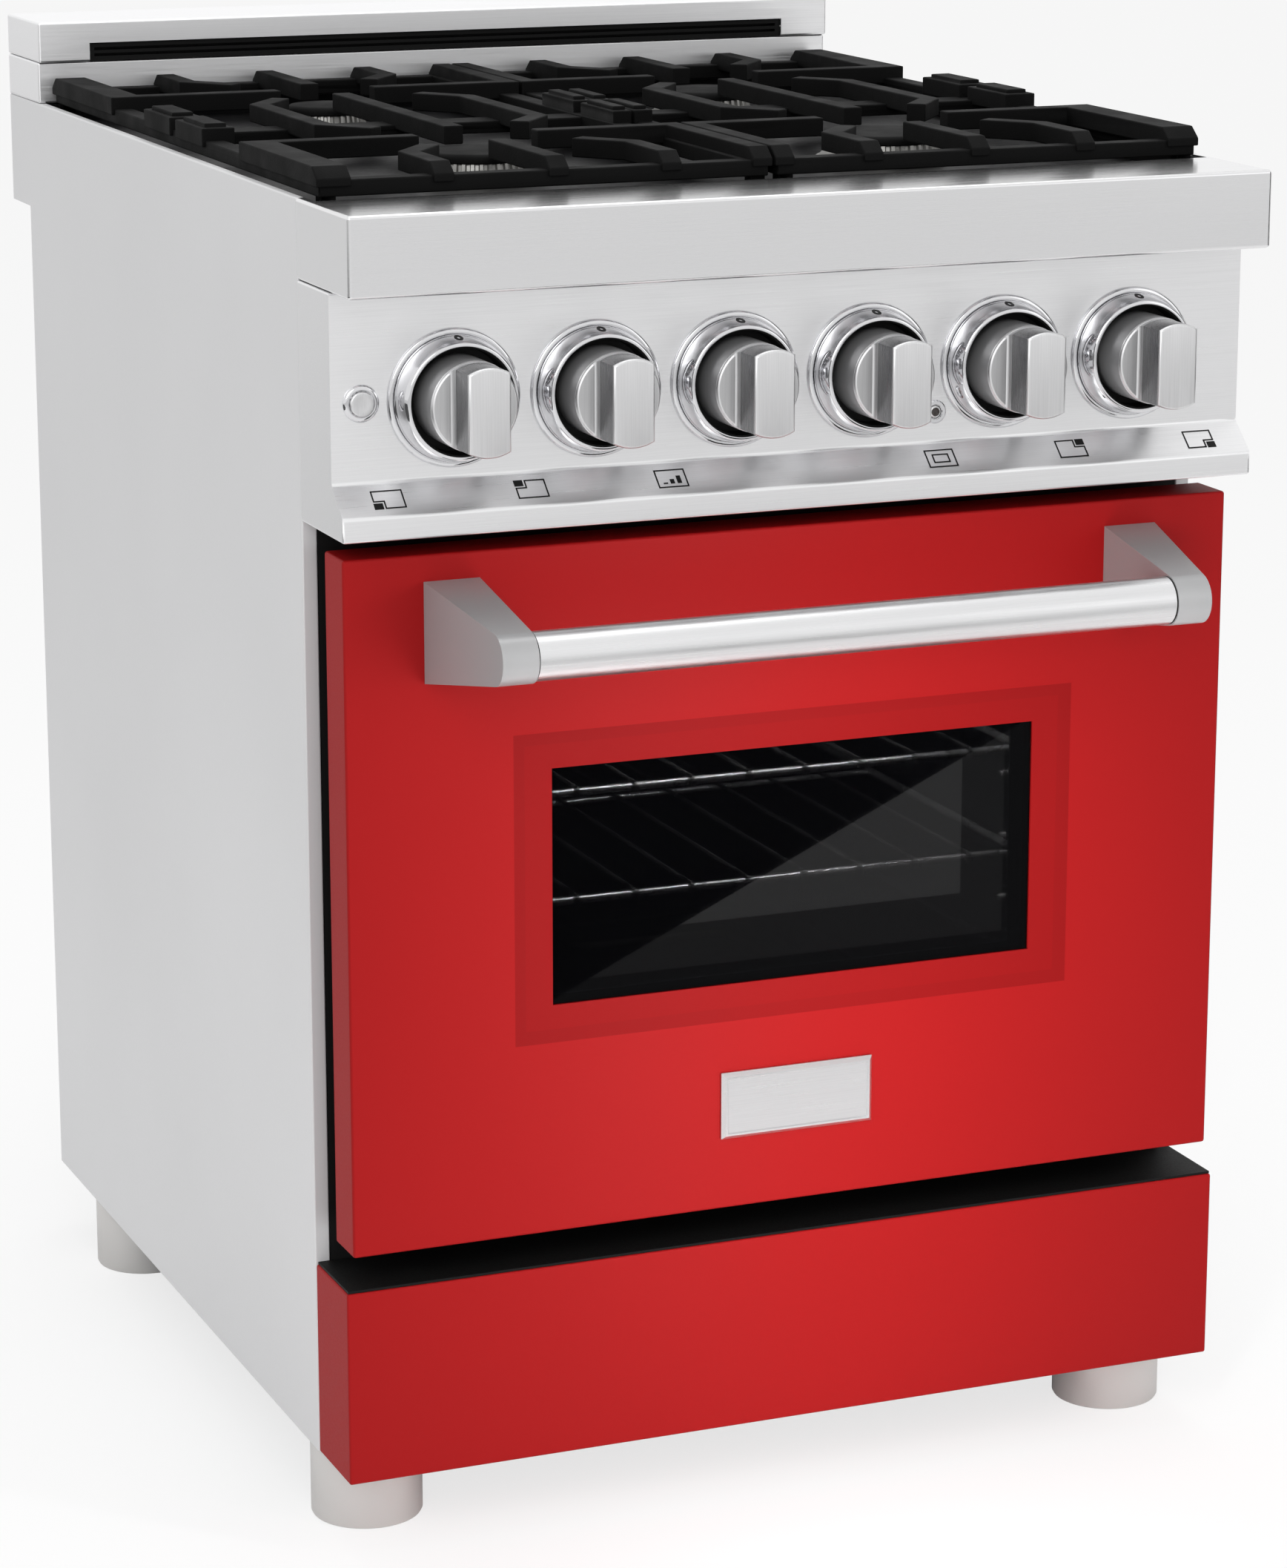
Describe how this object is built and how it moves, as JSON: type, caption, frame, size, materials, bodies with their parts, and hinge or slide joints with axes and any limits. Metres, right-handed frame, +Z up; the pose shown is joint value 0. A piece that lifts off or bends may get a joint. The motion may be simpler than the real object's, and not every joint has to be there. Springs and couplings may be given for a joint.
{
  "type": "dual fuel range cooker",
  "caption": "Freestanding dual fuel range cooker with gas hob, cast iron grates, a hinged glazed oven door, rotary knobs, kick panel and round legs.",
  "frame": {"origin": "on the floor, in the middle of the whole appliance's width and depth, handle included", "axes": "+Z up, +Y towards the wall behind, +X to the right of someone who faces the door"},
  "size_m": [0.61, 0.824, 0.907],
  "materials": {
    "brushed_steel": "fine horizontal brushing",
    "bracket_metal": "fine brushed, to match the handle tube",
    "side_panel_grey": "smooth light grey",
    "zinc_plate": "zinc plated sheet",
    "black_enamel": "black enamel",
    "red_finish": "satin red",
    "leg_grey": "light grey satin",
    "chrome": "polished",
    "element_sheath": "oxidised metal sheath",
    "knob_metal": "fine brushed",
    "cast_iron": "matte black, fine cast grain",
    "burner_alloy": "cast, machined ports",
    "oven_glass": "dark tinted",
    "gasket": "matte",
    "lens": "translucent"
  },
  "bodies": {
    "root": {"side_panel_left": "side_panel_grey", "side_panel_right": "side_panel_grey", "back_panel": "zinc_plate", "base_pan": "zinc_plate", "front_frame": "black_enamel", "kick_panel": "red_finish", "kick_top_plate": "black_enamel", "power_inlet_cover": "zinc_plate", "leg_front_left": "leg_grey", "leg_front_right": "leg_grey", "leg_back_left": "leg_grey", "leg_back_right": "leg_grey", "oven_liner": "black_enamel", "oven_rack_upper": "chrome", "oven_rack_lower": "chrome", "bake_element": "element_sheath", "broil_element": "element_sheath", "front_rail": "brushed_steel", "control_fascia": "brushed_steel", "gas_manifold": "zinc_plate", "oven_controls": "zinc_plate", "indicator_lens": "lens", "knob_bezel_1": "chrome", "knob_bezel_2": "chrome", "knob_bezel_3": "chrome", "knob_bezel_4": "chrome", "knob_bezel_5": "chrome", "knob_bezel_6": "chrome", "hinge_arm_left": "zinc_plate", "hinge_arm_right": "zinc_plate", "cooktop_tray": "black_enamel", "burner_base_front_left": "burner_alloy", "burner_base_front_right": "burner_alloy", "burner_base_back_left": "burner_alloy", "burner_base_back_right": "burner_alloy", "burner_cap_front_left": "cast_iron", "burner_cap_front_right": "cast_iron", "burner_cap_back_left": "cast_iron", "burner_cap_back_right": "cast_iron", "backguard_riser": "brushed_steel", "backguard_cap": "brushed_steel", "vent_insert": "black_enamel"},
    "door": {"door_skin": "red_finish", "door_inner_panel": "black_enamel", "door_glass_outer": "oven_glass", "door_glass_inner": "oven_glass", "door_gasket": "gasket", "handle_tube": "brushed_steel", "handle_bracket_left": "bracket_metal", "handle_bracket_right": "bracket_metal", "badge_plate": "brushed_steel"},
    "lamp_button": {"lamp_button": "chrome"},
    "grate_left": {"grate_left": "cast_iron"},
    "grate_right": {"grate_right": "cast_iron"},
    "knob_1": {"knob_1": "knob_metal"},
    "knob_2": {"knob_2": "knob_metal"},
    "knob_3": {"knob_3": "knob_metal"},
    "knob_4": {"knob_4": "knob_metal"},
    "knob_5": {"knob_5": "knob_metal"},
    "knob_6": {"knob_6": "knob_metal"}
  },
  "joints": [
    {"name": "door_hinge", "type": "hinge", "parent": "root", "child": "door", "pos_m": [0, -0.302, 0.2075], "axis": [1, 0, 0], "range_deg": [0, 90]},
    {"name": "knob_1_turn", "type": "hinge", "parent": "root", "child": "knob_1", "pos_m": [-0.2275, -0.311, 0.734], "axis": [0, -1, 0], "range_deg": [0, 270]},
    {"name": "knob_2_turn", "type": "hinge", "parent": "root", "child": "knob_2", "pos_m": [-0.1365, -0.311, 0.734], "axis": [0, -1, 0], "range_deg": [0, 270]},
    {"name": "knob_3_turn", "type": "hinge", "parent": "root", "child": "knob_3", "pos_m": [-0.0455, -0.311, 0.734], "axis": [0, 1, 0], "range_deg": [0, 300]},
    {"name": "knob_4_turn", "type": "hinge", "parent": "root", "child": "knob_4", "pos_m": [0.0455, -0.311, 0.734], "axis": [0, 1, 0], "range_deg": [0, 240]},
    {"name": "knob_5_turn", "type": "hinge", "parent": "root", "child": "knob_5", "pos_m": [0.1365, -0.311, 0.734], "axis": [0, -1, 0], "range_deg": [0, 270]},
    {"name": "knob_6_turn", "type": "hinge", "parent": "root", "child": "knob_6", "pos_m": [0.2275, -0.311, 0.734], "axis": [0, -1, 0], "range_deg": [0, 270]},
    {"name": "lamp_push", "type": "slide", "parent": "root", "child": "lamp_button", "axis": [0, 1, 0], "range_m": [0, 0.003], "stiffness_N_per_m": 200, "springref_m": -0.003},
    {"name": "grate_left_lift", "type": "slide", "parent": "root", "child": "grate_left", "axis": [0, 0, 1], "range_m": [0, 0.08]},
    {"name": "grate_right_lift", "type": "slide", "parent": "root", "child": "grate_right", "axis": [0, 0, 1], "range_m": [0, 0.08]}
  ]
}
